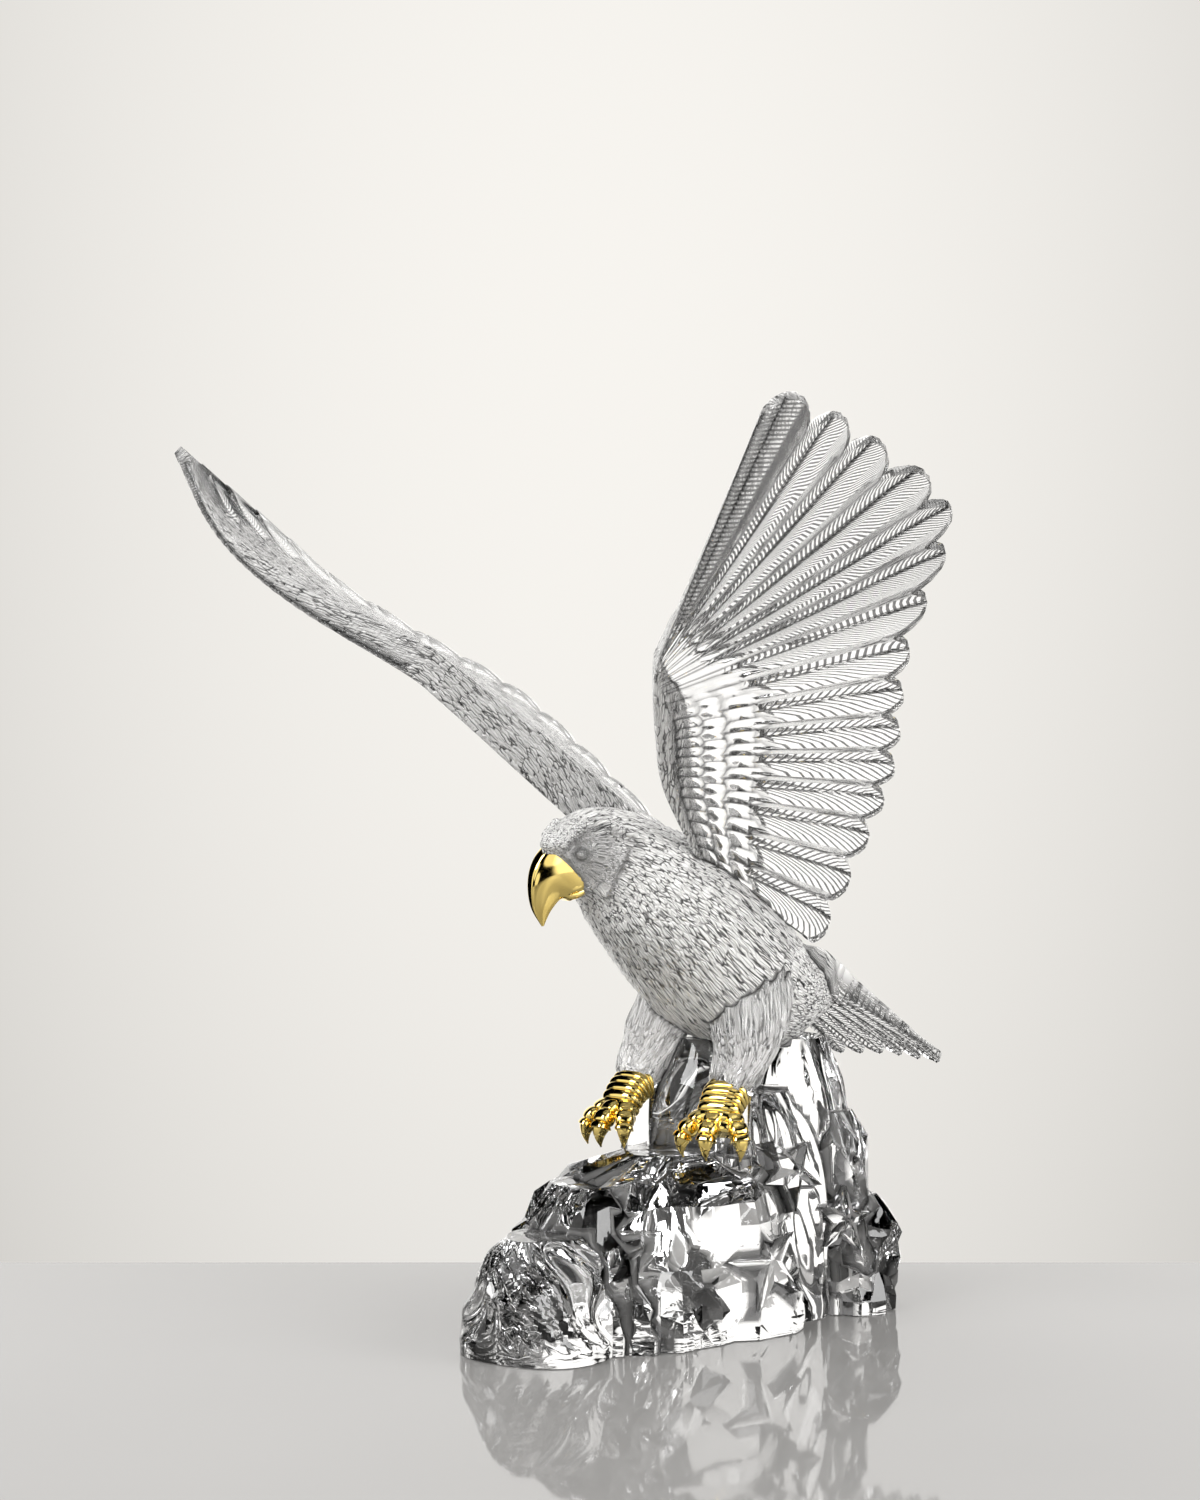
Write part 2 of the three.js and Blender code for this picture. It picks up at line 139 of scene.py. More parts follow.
def make_piece(name, points, faces, grain, finish):
    """Mesh object from points in millimetres and lists of corners.

    Grain is the place of each point across and along the strokes; finish is its share of each kind of cut.
    """
    mesh = bpy.data.meshes.new(name)
    mesh.from_pydata((np.asarray(points).reshape(-1, 3) * 0.001).tolist(), [], faces)
    mark = mesh.attributes.new("grain", "FLOAT_VECTOR", "POINT")
    mark.data.foreach_set("vector", np.asarray(grain, np.float32).ravel())
    mark = mesh.attributes.new("finish", "FLOAT_COLOR", "POINT")
    mark.data.foreach_set("color", np.asarray(finish, np.float32).ravel())
    mesh.update()
    piece = bpy.data.objects.new(name, mesh)
    bpy.context.scene.collection.objects.link(piece)
    return piece


def finish_of(satin, lines, painted_shade, scoops=0.0):
    """Finish of each point: its share of satin, of barb lines, of painted shade in cuts, seams and hollows, and
    of scoops.
    """
    return np.stack(np.broadcast_arrays(satin, lines, painted_shade, scoops), -1)


def facing_out(points, faces):
    """Whether the four-cornered faces of a closed form point away from a centre, summed over all of them."""
    normal = np.cross(points[faces[:, 2]] - points[faces[:, 0]], points[faces[:, 3]] - points[faces[:, 1]])
    return ((points[faces].mean(1) - points.mean(0)) * normal).sum() >= 0


def slab(name, upper, lower, upper_grain, lower_grain, upper_finish, lower_finish):
    """Closed plate: an upper and a lower grid of points with the border between them walled in."""
    rows, columns = upper.shape[:2]
    below = rows * columns
    edge = np.concatenate([np.arange(columns - 1), np.arange(rows - 1) * columns + columns - 1,
                           (rows - 1) * columns + np.arange(columns - 1, 0, -1),
                           np.arange(rows - 1, 0, -1) * columns])
    after = np.roll(edge, -1)
    rim = np.stack([edge, after, after + below, edge + below], -1)
    faces = np.concatenate([grid_quads(rows, columns), grid_quads(rows, columns, below)[:, ::-1], rim])
    points = np.concatenate([upper.reshape(-1, 3), lower.reshape(-1, 3)])
    if not facing_out(points, faces):
        faces = faces[:, ::-1]
    flow = np.concatenate([upper_grain.reshape(-1, 3), lower_grain.reshape(-1, 3)])
    finish = np.concatenate([upper_finish.reshape(-1, 4), lower_finish.reshape(-1, 4)])
    return make_piece(name, points, faces.tolist(), flow, finish)


def wing(side):
    """Feather fan: straight lines from the arm to the tip line, shortened between the tips into scallops.

    Along a line come the arm, the ranks of coverts and the vane, whose rows lean away from the rachis like barbs.
    Across a feather come a roped narrow vane, the rachis as a groove, and a broad vane sloping away from it.
    """
    rows = np.concatenate([ARM_ROWS, np.linspace(COVERT_START, COVERT_END, COVERT_ROWS),
                           np.linspace(*BARB_ROWS, 2 * BARBS), TIP_ROWS])
    groove = np.zeros((len(rows), 1))
    groove[len(ARM_ROWS) + COVERT_ROWS:-len(TIP_ROWS), 0] = np.arange(2 * BARBS) % 2
    w = np.append(np.tile(VANE_COLUMNS, FEATHERS), 1.0)
    q = np.append((np.arange(FEATHERS)[:, None] + VANE_COLUMNS).ravel(), FEATHERS)
    r = rows[:, None]
    lead, tip = smooth_line(LEAD_LINE, q), smooth_line(TIP_LINE, q)
    narrow, broad = w < RACHIS - RACHIS_HALF, w > RACHIS + RACHIS_HALF
    before, behind = np.clip((RACHIS - w) / RACHIS, 0, 1), np.clip((w - RACHIS) / (1 - RACHIS), 0, 1)
    edge = np.minimum(w, 1 - w)
    inside = edge > 0.02
    lenses, hand = ease(q, *WRIST_LENSES), ease(q, *WRIST_VANES)
    open_vane = ease(r, COVERT_END - 0.02, COVERT_END + 0.06)

    covert = HAND_COVERT + (COVERT_END - HAND_COVERT) * ease(q, *WRIST_COVERTS)
    s = np.where(r < COVERT_END, r * covert / COVERT_END,
                 covert + (r - COVERT_END) * (1 - covert) / (1 - COVERT_END))
    lean = BARB_LEAN[0] * before + BARB_LEAN[1] * behind
    s = s + lean * ease(r, COVERT_END - 0.1, COVERT_END + 0.1) * np.clip(1 - r, 0, 1) ** 0.4
    reach = s * (1 - FEATHER_NOTCH * np.abs(2 * w - 1) ** TIP_ROUND)
    flat = lead[None] + (tip - lead)[None] * reach[..., None]

    root = ARM_THICK[side] + SHOULDER_THICK * ease(q, 4, FEATHERS)
    half = VANE_THICK + (root - VANE_THICK) * np.clip(1 - s, 0, 1) ** 1.5
    half = half + COVERT_THICK * ease(r, COVERT_END + 0.02, COVERT_END)
    half = half * np.clip(EDGE_THIN + np.sqrt(40 * r), 0, 1) * np.clip(EDGE_THIN + np.sqrt(6 * q), 0, 1)
    bow = HAND_BOW * np.sin(np.pi * np.clip(s, 0, 1)) * np.clip(1 - q / HAND_FEATHERS, 0, None)
    sheet = TRAIL_LIFT[side] * ease(q, 5, 10) * np.linalg.norm(flat - lead[None], axis=-1) - bow

    rope = np.sin(np.pi * np.clip(w / RACHIS, 0, 1)) ** 0.6 - 0.2
    section = np.where(narrow, rope, np.where(broad, BLADE_RISE[0] - BLADE_RISE[1] * behind, -RACHIS_DEPTH))
    barb = -groove * BARB_CUT * narrow * inside * ease(s, 0.97, 0.93)
    rank = np.clip((r - COVERT_START) / (COVERT_END - COVERT_START), 0, 0.999) * COVERT_RANKS
    across = np.abs(2 * ((2 * q + 0.5 * (np.floor(rank) % 2)) % 1) - 1)
    in_coverts = (r > ARM_ROWS[-1]) * (r <= COVERT_END)
    scoop = lenses * np.sin(np.pi * (rank % 1)) * (1 - across ** 2) * in_coverts
    relief = open_vane * (section + barb) + TIP_LIP * ease(s, 0.93, 0.97) - COVERT_DEPTH * scoop

    def place(above):
        """The flat fan bowed forward at the hand, raised about the shoulder and pitched with the body."""
        out, forward = flat[..., 0] + HAND_SWEEP[0] * bow, flat[..., 1] + HAND_SWEEP[1] * bow
        c, sn = np.cos(WING_RAISE), np.sin(WING_RAISE)
        point = np.array([0.0, SHOULDER[1], SHOULDER[2]]) + (out * sn + above * c)[..., None] * dorsal
        point = point + forward[..., None] * along
        point[..., 0] = side * (SHOULDER[0] + out * c - above * sn)
        return point

    arm = ease(r, ARM_SATIN[side] + 0.03, ARM_SATIN[side] - 0.03) + 0 * q
    satin = np.maximum(arm, ease(q, 1.0, 0.3) + 0 * r)
    outer = flat @ ARM_AIM
    width = flat @ [ARM_AIM[1], -ARM_AIM[0]]
    spread = np.linalg.norm(np.gradient(flat, q, axis=1), axis=-1)
    slant = np.where(w < RACHIS, BARB_SLANT[0] * (RACHIS - w), BARB_SLANT[1] * (w - RACHIS)) * spread
    close = HAND_CLOSE - (1 - hand) * np.where(w < RACHIS, *BARB_CLOSE)
    on_vane = np.stack([outer, 0 * s, (reach * np.linalg.norm(tip - lead, axis=-1) - slant) * close], -1)

    def strokes(around):
        """Strokes run out along the arm and, on the vanes, along the barbs."""
        on_arm = np.stack([around, 0 * s, ARM_STROKES[side] * outer], -1)
        return np.where((satin > 0.3)[..., None], on_arm, on_vane)

    seam_width = SEAM_WIDTH[0] + (SEAM_WIDTH[1] - SEAM_WIDTH[0]) * hand
    seam = np.maximum(bell(edge, seam_width), bell(w - RACHIS, seam_width))
    lines = open_vane * inside * (VANE_LINES - 0.4 * broad * behind + HAND_LINES * hand)
    # Painted shade: the seams and the rachis are darkened, and so are the coverts between and along their cuts;
    # the arm is darkened too.
    painted_shade = open_vane * (SEAM_PAINTED_SHADE + (1 - SEAM_PAINTED_SHADE) * hand) * seam
    between = lenses * ease(scoop, 0.5, 0.1) + (1 - lenses) * (0.3 + 0.7 * seam ** 0.4)
    painted_shade = painted_shade + (1 - open_vane) * (r > ARM_ROWS[-1]) * between
    above = finish_of(satin, 0.6 * ease(q, 0.35, 0.2), np.maximum(UPPER_PAINTED_SHADE * painted_shade, ARM_PAINTED_SHADE[side] * satin))
    below = finish_of(arm, lines, np.maximum(painted_shade, ARM_PAINTED_SHADE[side] * arm))
    return slab("wing", place(sheet + UPPER_SHARE * half + UPPER_RELIEF * relief),
                place(sheet - LOWER_SHARE * half - relief),
                strokes(width + UPPER_SHARE * half), strokes(width - LOWER_SHARE * half), above, below)


crystal_parts = [wing(1), wing(-1)]

# Tail: six feathers in a narrow fan below the back, in the same block as the wings.
# Each has a rachis down its middle with barbs leaning away from it on both sides.
TAIL_FEATHERS = 6
TAIL_ROOT = np.array([0.0, 84.0, 190.0])
TAIL_PITCH = np.radians(31)
TAIL_LENGTH = 126.8
TAIL_SPREAD = (17.0, 40.0)  # half width at the root, at the tips
TAIL_COLUMNS = np.array([0.0, 0.04, 0.2, 0.36, 0.46, 0.5, 0.54, 0.64, 0.8, 0.96])
TAIL_BARBS = 15
TAIL_ROOT_ROWS = np.linspace(0, 0.3, 6)
TAIL_BARB_ROWS = (0.33, 0.95)
TAIL_TIP_ROWS = [0.98, 1.0]
TAIL_LEAN = 0.14
TAIL_NOTCH = 0.07
TAIL_SLANT = 1.3
TAIL_DROOP = 3.0
TAIL_THICK = (10.0, 2.0)
TAIL_WEDGE = 0.25
TAIL_COVER = 1.0
VANE_CROWN = 0.5
VANE_GAP = 0.7
RIB_HEIGHT = 0.5
RIB_GROOVE = 0.3
TAIL_BARB_CUT = 0.15
TAIL_SEAM = 0.03
# Painted shade along the seams and the rachis of the tail, above and below
TAIL_PAINTED_SHADE = (0.36, 0.9)  # above, below


def tail():
    """Feather fan: lines running back from the rump, spread sideways and shortened between the tips.

    Across a feather come a crowned vane, a groove, the rib of the rachis, and the same again in mirror.
    """
    rows = np.concatenate([TAIL_ROOT_ROWS, np.linspace(*TAIL_BARB_ROWS, 2 * TAIL_BARBS), TAIL_TIP_ROWS])
    groove = np.zeros((len(rows), 1))
    groove[len(TAIL_ROOT_ROWS):-len(TAIL_TIP_ROWS), 0] = np.arange(2 * TAIL_BARBS) % 2
    w = np.append(np.tile(TAIL_COLUMNS, TAIL_FEATHERS), 1.0)
    q = np.append((np.arange(TAIL_FEATHERS)[:, None] + TAIL_COLUMNS).ravel(), TAIL_FEATHERS)
    q = q / TAIL_FEATHERS * 2 - 1
    r = rows[:, None]
    off, edge = np.abs(w - 0.5), np.minimum(w, 1 - w)
    s = r + TAIL_LEAN * off * ease(r, 0.2, 0.4) * np.clip(1 - r, 0, 1) ** 0.4
    reach = s * (1 - TAIL_NOTCH * np.abs(2 * w - 1) ** TIP_ROUND)
    open_vane = ease(s, 0.3, 0.4)

    half = TAIL_THICK[0] - (TAIL_THICK[0] - TAIL_THICK[1]) * np.clip(1.15 * s, 0, 1)
    half = half * (TAIL_WEDGE + (1 - TAIL_WEDGE) * ease(s, 0, 0.18)) + TAIL_COVER * (r < TAIL_BARB_ROWS[0])
    rib = RIB_HEIGHT * (off < 0.01) - RIB_GROOVE * (np.abs(off - 0.04) < 0.01)
    barb = -TAIL_BARB_CUT * groove * (edge > 0.02) * (off > 0.05)
    relief = open_vane * (VANE_CROWN * (1 - (2 * w - 1) ** 2) + rib + barb)
    relief = relief - VANE_GAP * (edge < 0.02) * ease(s, 0.1, 0.4)
    sheet = -TAIL_DROOP * np.abs(q) * reach
    back = np.array([0.0, np.cos(TAIL_PITCH), -np.sin(TAIL_PITCH)])
    spread = TAIL_SPREAD[0] + (TAIL_SPREAD[1] - TAIL_SPREAD[0]) * reach
    point = TAIL_ROOT + (TAIL_LENGTH * reach)[..., None] * back
    point[..., 0] = q * spread
    upper = point + (sheet + half + 0.6 * relief)[..., None] * dorsal
    lower = point + (sheet - half - relief)[..., None] * dorsal

    slant = TAIL_SLANT * off * spread * 2 / TAIL_FEATHERS
    grain = np.stack([point[..., 0], 0 * reach, TAIL_LENGTH * reach - slant], -1)
    seam = open_vane * np.maximum(bell(edge, TAIL_SEAM), bell(off, TAIL_SEAM))
    satin = np.maximum(ease(s, 0.3, 0.15), 0.8 * ease(np.abs(q), 0.8, 0.95))
    # The seams carry painted shade.
    above = finish_of(satin, 0.0, TAIL_PAINTED_SHADE[0] * seam)
    below = finish_of(ease(s, 0.2, 0.1), VANE_LINES * open_vane, TAIL_PAINTED_SHADE[1] * seam)
    return slab("tail", upper, lower, grain, grain, above, below)


crystal_parts.append(tail())

# Head and trunk: one form from the face to the rump, its plumage engraved all over in short satin strokes
# that run from head to tail. Brow ridges stand over hollow eyes, and a ruff edges the face behind the beak.
# The relief of the face gives the height and the width of each ridge or hollow.
BODY_SECTIONS = [
    [71, 249, 0.8, 0.8, -12], [70, 249, 3.6, 2.4, -11.5], [66, 249.3, 8.5, 5.2, -10],
    [57.5, 248.5, 15.5, 12.5, -7.5], [45, 247, 22, 21, -5], [28, 240, 27, 27, -3],
    [10, 227, 34, 34, 0], [-12, 212, 40, 38, 0], [-45, 188, 42, 41, 0], [-80, 169, 36, 36, 0],
    [-108, 164, 26, 23, 0], [-128, 160, 17, 10, 0]]
CROWN_SECTIONS = 2
CROWN_RINGS = 8
BODY_RINGS = 140
BODY_SIDES = 116
TUFTS_ROUND = 29
TUFT_LENGTH = 9.0
TUFT_RELIEF = 1.0
HEAD_MIDDLE = -7.0
BROW = [[-2, -76, 249], [1.5, -71, 255], [5, -64, 260], [10, -58, 259], [15, -51, 255], [19, -43, 251]]
RUFF = [[15, -52, 246], [13.5, -56.5, 236], [7, -55, 224]]
CERE = [[-4, -77, 246], [-0.5, -71, 237], [-1, -64, 229], [-3.5, -58, 224]]
EYE = [[5.5, -72.0, 244.0], [5.5, -71.9, 244.0]]
FACE_RELIEF = {"brow": (2.8, 1.8), "hollow": (-1.8, 3.6), "ruff": (2.6, 2.2), "cere": (1.3, 1.4),
               "socket": (-2.4, 7.0), "eye": (4.0, 3.4)}
HOLLOW_SHIFT = [1.5, -1.0, -6.0]
CHEEK_SHIFT = [3.0, 6.0, -5.0]
CHEEK_RADIUS = 16.0
CHEEK_POLISH = 0.5
FACE_FINE = 0.8
# The most painted shade on the face
FACE_PAINTED_SHADE_MOST = 0.85


def through(rows, t):
    """Smooth line through rows that are one step apart."""
    return smooth_line(np.column_stack([np.arange(len(rows)), np.array(rows, float)]), t)


def turns(count):
    """Equal angles once round."""
    return 2 * np.pi * np.arange(count) / count


def loft(name, rings, grain, satin=0.0, painted_shade=0.0, scoops=0.0):
    """Closed body through a stack of rings of points, each end closed by one face."""
    count, sides = rings.shape[:2]
    points = rings.reshape(-1, 3)
    quads = grid_quads(count, sides, wrap=True)
    faces = quads.tolist() + [list(range(sides)), list(range(count * sides - 1, (count - 1) * sides - 1, -1))]
    if not facing_out(points, quads):
        faces = [face[::-1] for face in faces]
    finish = finish_of(np.broadcast_to(satin, rings.shape[:2]), 0.0, painted_shade, scoops)
    return make_piece(name, points, faces, grain, finish)


def ridge(points, line, width):
    """Bell curve of the distance to a line laid onto a surface: 1 on the line, fading over the width."""
    dense = through(line, np.linspace(0, len(line) - 1, 8 * len(line)))
    cloud = points.reshape(-1, 3)
    laid = cloud[np.linalg.norm(cloud[:, None] - dense, axis=-1).argmin(0)]
    gap = np.linalg.norm(points[..., None, :] - laid, axis=-1).min(-1)
    return bell(gap, width)


def outward(rings):
    """Unit normals of a stack of rings from the differences between neighbouring points."""
    normal = np.cross(np.gradient(rings, axis=0), np.roll(rings, -1, 1) - np.roll(rings, 1, 1))
    normal /= np.linalg.norm(normal, axis=-1, keepdims=True) + 1e-9
    middle = rings.mean(1, keepdims=True)
    return normal * np.sign(((rings - middle) * normal).sum(-1, keepdims=True) + 1e-9)


def trunk(swell=0.0):
    """Ellipses along the spine, raised into staggered tufts, with brows, eyes and ruff as rounded ridges.

    A swell makes the whole form larger, which is how the beak is cut to fit it with a gap.
    """
    t = np.concatenate([np.linspace(0, CROWN_SECTIONS, CROWN_RINGS + 1)[:-1],
                        np.linspace(CROWN_SECTIONS, len(BODY_SECTIONS) - 1, BODY_RINGS - CROWN_RINGS)])
    forward, z, half_width, half_depth, shift = through(BODY_SECTIONS, t).T
    spine = np.stack([shift, SHOULDER[1] - forward, z], -1)
    axis = np.gradient(spine, axis=0)
    axis[:, 0] = 0
    axis /= np.linalg.norm(axis, axis=1, keepdims=True)
    rise = np.stack([0 * t, -axis[:, 2], axis[:, 1]], -1)
    a = turns(BODY_SIDES)
    flank = np.cos(a)[None, :, None] * half_width[:, None, None] * np.array([1.0, 0, 0])
    rings = spine[:, None] + flank + np.sin(a)[None, :, None] * (half_depth[:, None] * rise)[:, None]

    length = np.concatenate([[0], np.cumsum(np.linalg.norm(np.diff(spine, axis=0), axis=1))])
    band = length / TUFT_LENGTH
    place = a / (2 * np.pi) * TUFTS_ROUND + 0.5 * (np.floor(band) % 2)[:, None]
    plume = (band % 1)[:, None] ** 1.3 * (1 - np.abs(2 * (place % 1) - 1) ** 2)
    raised = TUFT_RELIEF * ease(forward, 46, 10)[:, None] * (plume - 0.35)
    face_painted_shade, smooth = 0 * raised, 0 * raised
    middle = np.array([HEAD_MIDDLE, 0, 0])
    for flip in (1, -1):
        mirror = np.array([flip, 1, 1])
        brow, ruff, cere, eye = [(np.array(line) - middle) * mirror + middle for line in (BROW, RUFF, CERE, EYE)]
        lines = {"brow": brow, "hollow": brow[1:] + mirror * HOLLOW_SHIFT, "ruff": ruff, "cere": cere,
                 "socket": eye, "eye": eye}
        face = {name: ridge(rings, lines[name], width) for name, (height, width) in FACE_RELIEF.items()}
        raised = raised + sum(FACE_RELIEF[name][0] * form for name, form in face.items())
        cheek = np.linalg.norm(rings - (eye[0] + mirror * CHEEK_SHIFT), axis=-1)
        smooth = np.maximum(smooth, np.exp(-(cheek / CHEEK_RADIUS) ** 6))
        # Painted shade: darkening in the hollows under the brows, in a ring round each eye, in lines below the
        # brows and behind the ruff and cere, and faintly on the cheeks.
        face_painted_shade = face_painted_shade + 0.25 * face["hollow"] + 0.9 * (4 * face["eye"] * (1 - face["eye"])) ** 3
        face_painted_shade = face_painted_shade + 0.6 * ridge(rings, brow + [0.5 * flip, 0, -2.6], 1.1) * (1 - face["brow"])
        face_painted_shade = face_painted_shade + 0.8 * ridge(rings, ruff + [0, 2.4, 0], 1.3) + 0.7 * ridge(rings, cere + [0, 1.8, 0], 1.0)

    grain = np.stack([np.cos(a) * half_width[:, None], np.sin(a) * half_depth[:, None],
                      np.broadcast_to(length[:, None], raised.shape)], -1)
    grain = grain * (1 + FACE_FINE * ease(forward, 40, 56))[:, None, None]
    face_painted_shade = np.clip(face_painted_shade + 0.1 * smooth, 0, FACE_PAINTED_SHADE_MOST)
    skin = rings + outward(rings) * (raised + swell)[..., None]
    return loft("trunk", skin, grain, 1 - CHEEK_POLISH * smooth, face_painted_shade)


crystal_parts.append(trunk())

# Legs: feathered thighs tapering to the ankles, running on down behind the gilt feet into the rock.
# Their plumage hangs in long upright strokes that end in a ragged fringe above the feet.
LEG_SPREAD = 32.0
LEG_SECTIONS = [[-52, 197, 5, 8], [-49, 184, 15, 21], [-45, 164, 19, 23], [-39, 147, 17, 19], [-30, 133, 14, 15],
                [-25, 118, 10, 10], [-24, 100, 9, 9], [-24, 80, 11, 11]]
LEG_RINGS = 56
LEG_SIDES = 48
LEG_TILT = np.array([0.0, 0.9, 0.45])
HIP_CLOSER = 9.0
HIP_HEIGHTS = (138.0, 184.0)
FRINGE = 124.0
FRINGE_RAGS = (5.0, 3.0)
FRINGE_FADE = 4.0
LOCKS = 12
FINE_LOCKS = 19
LOCK_RISE = 1.2
LEG_STROKES = -0.7
LEG_SATIN = 0.5


def leg(side, swell=0.0):
    """Ellipses down the leg, fluted into upright locks above the fringe and plain below it.

    A swell makes the whole form larger, which is how the feet are cut to fit it with a gap.
    """
    forward, z, half_width, half_depth = through(LEG_SECTIONS, np.linspace(0, len(LEG_SECTIONS) - 1, LEG_RINGS)).T
    centre = np.stack([side * (LEG_SPREAD - HIP_CLOSER * ease(z, *HIP_HEIGHTS)), SHOULDER[1] - forward, z], -1)
    a = turns(LEG_SIDES)
    across = half_width[:, None, None] * np.array([1.0, 0, 0])
    rise = half_depth[:, None, None] * LEG_TILT
    rings = centre[:, None] + np.cos(a)[None, :, None] * across + np.sin(a)[None, :, None] * rise
    fringe = FRINGE + FRINGE_RAGS[0] * np.sin(3 * a + side) + FRINGE_RAGS[1] * np.sin(7 * a)
    lock = ease(rings[..., 2], fringe, fringe + FRINGE_FADE)
    sway = 1.2 * np.sin(0.16 * z)[:, None]
    wave = np.sin(LOCKS * a + sway) + 0.6 * np.sin(FINE_LOCKS * a - 0.09 * z[:, None])
    raised = lock * (LOCK_RISE + wave) + swell
    grain = np.stack([np.cos(a) * half_width[:, None], np.sin(a) * half_depth[:, None],
                      np.broadcast_to(LEG_STROKES * z[:, None], raised.shape)], -1)
    return loft("leg", rings + outward(rings) * raised[..., None], grain, LEG_SATIN * lock)


crystal_parts += [leg(1), leg(-1)]

# Rock: the foot of the same block, rising in lobes from a low front to a tall column behind the tail.
# It is polished clear: broad planes in the middle, broken facets round them, flutes on the front and back.
# A lobe is its place, half sizes, height, share left at the top, facets, turn and kind of cut.
ROCK_LOBES = [
    [0, -14, 60, 76, 90, 0.8, 13, 8, "calm"], [-8, 33, 50, 50, 78, 0.6, 10, 24, "broken"],
    [-5, 77, 40, 42, 57, 0.6, 9, 20, "fluted"], [4, -70, 50, 46, 116, 0.55, 11, 10, "draped"],
    [10, -100, 36, 36, 142, 0.62, 9, 12, "draped"], [20, -106, 40, 32, 103, 0.66, 8, 5, "pleated"],
    [24, -112, 44, 30, 60, 0.8, 8, 30, "broken"], [-26, -62, 38, 56, 78, 0.6, 10, 15, "broken"],
    [-8, -44, 34, 30, 144, 0.6, 9, 15, "broad"]]
# A cut is points to a facet, levels, shake and share of scoops.
ROCK_CUTS = {"calm": (3.0, 9, 0.06, 1.0), "broad": (2.4, 8, 0.03, 0.0), "broken": (3.4, 9, 0.07, 1.0),
             "pleated": (2.2, 6, 0.06, 0.5), "fluted": (13, 30, 0.0, 0.0), "draped": (11, 30, 0.0, 0.0)}
# Flutes are turns round, climb, and waves of sway, number round and number with height.
ROCK_FLUTES = {"fluted": (15, 0.27, [(3.9, 2, 0.08), (2.4, 0, 0.13)]),
               "draped": (8, 0.0, [(1.5, 2, 0.05), (0.5, 19, 0.09)])}
ROCK_BAND = 7.0
ROCK_TAPER = ((0.45, 0.3), (0.82, 0.75))  # share of the height, share of the taper
ROCK_TOP = 0.8
DOME_TOP = 0.45
DOME_EDGE = 0.93
ROCK_WAVE = 0.06
CALM_TURN = -0.45
CALM_WIDTH = 0.7
CALM_SHARE = 0.9
SHOWN_TURN = -0.84
PLEAT = 0.045
FACET_SLIDE = 0.4
FLUTE_DEPTH = 1.7
FOOT_BEVEL = 0.99
rng = np.random.default_rng(7)


def lobe(row):
    """Tapering column on the floor, its outline and heights shaken into facets or waved into flutes.

    The phase of the flutes is so many turns round, a climb with height, and a sum of sine waves of both.
    """
    side, forward, half_width, half_length, height, top, facets, turn, cut = row
    times, levels, shake, chips = ROCK_CUTS[cut]
    knots = [[0, 1]] + [[level, 1 - share * (1 - top)] for level, share in ROCK_TAPER]
    if cut in ("calm", "broad"):
        knots += [[DOME_EDGE, ROCK_TOP * top], [1, DOME_TOP * top]]
    else:
        knots += [[1, ROCK_TOP * top]]
    tall = np.linspace(ROCK_BAND / height, 1, levels)[:, None]
    sides = int(facets * times)
    a = np.radians(turn) + turns(sides)
    broken = np.ones((levels, sides))
    if cut == "calm":
        swing = np.angle(np.exp(1j * (a - CALM_TURN)))
        broken = 1 - CALM_SHARE * np.exp(-(swing / CALM_WIDTH) ** 4) * ease(tall, 0.3, 0.45)
    wavy = ROCK_WAVE * np.sin(2.4 * np.arange(sides) / times + 4 * tall + side)
    r = smooth_line(knots, tall[:, 0]) * (1 + wavy + broken * rng.uniform(-shake, shake, (levels, sides)))
    if cut == "pleated":
        r[1:-1] *= 1 + PLEAT * (-1) ** np.arange(sides)
    slide = broken * rng.uniform(-FACET_SLIDE, FACET_SLIDE, (levels, sides)) * (height / levels) * (shake > 0.05)
    slide[[0, -1]] = 0
    middle = np.array([side, SHOULDER[1] - forward, 0])
    x = middle[0] + half_width * r * np.cos(a)
    y = middle[1] + half_length * r * np.sin(a)
    z = height * tall + slide
    if cut in ROCK_FLUTES:
        round_it, climb, waves = ROCK_FLUTES[cut]
        phase = round_it * a + climb * z + sum(sway * np.sin(m * a + k * z) for sway, m, k in waves)
        deep = FLUTE_DEPTH * np.sin(phase) * ease(tall, 0.1, 0.3) * ease(tall, 1.0, 0.85)
        x, y = x + deep * np.cos(a), y + deep * np.sin(a)
    rings = np.stack([x, y, z], -1)
    foot = rings[:1] * [FOOT_BEVEL, FOOT_BEVEL, 0] + (1 - FOOT_BEVEL) * middle
    shown = ease(np.cos(a - SHOWN_TURN), -0.3, 0.2)
    rings = np.concatenate([foot, rings])
    # Scoops go on the facets that face the camera; the material paints half of them black as a painted
    # reflection.
    return loft("rock_lobe", rings, 0 * rings, scoops=chips * shown * np.concatenate([broken[:1], broken]))


crystal_parts += [lobe(row) for row in ROCK_LOBES]

# Stars: three five-pointed stars on the flank of the rock, cut in relief in the same block.
# Sharp ridges run from the middle of each star to its points.
STARS = [[57, -19, 38, 26, 12, 8, 18], [47, -53, 78, 20, 30, 10, 14], [54, -88, 50, 18, -8, 20, 10]]
STAR_POINTS = 5
STAR_INNER = 0.4
STAR_PEAK = 0.04
STAR_RELIEF = 5.0
STAR_EDGE = 1.5
STAR_ROOT = 14.0


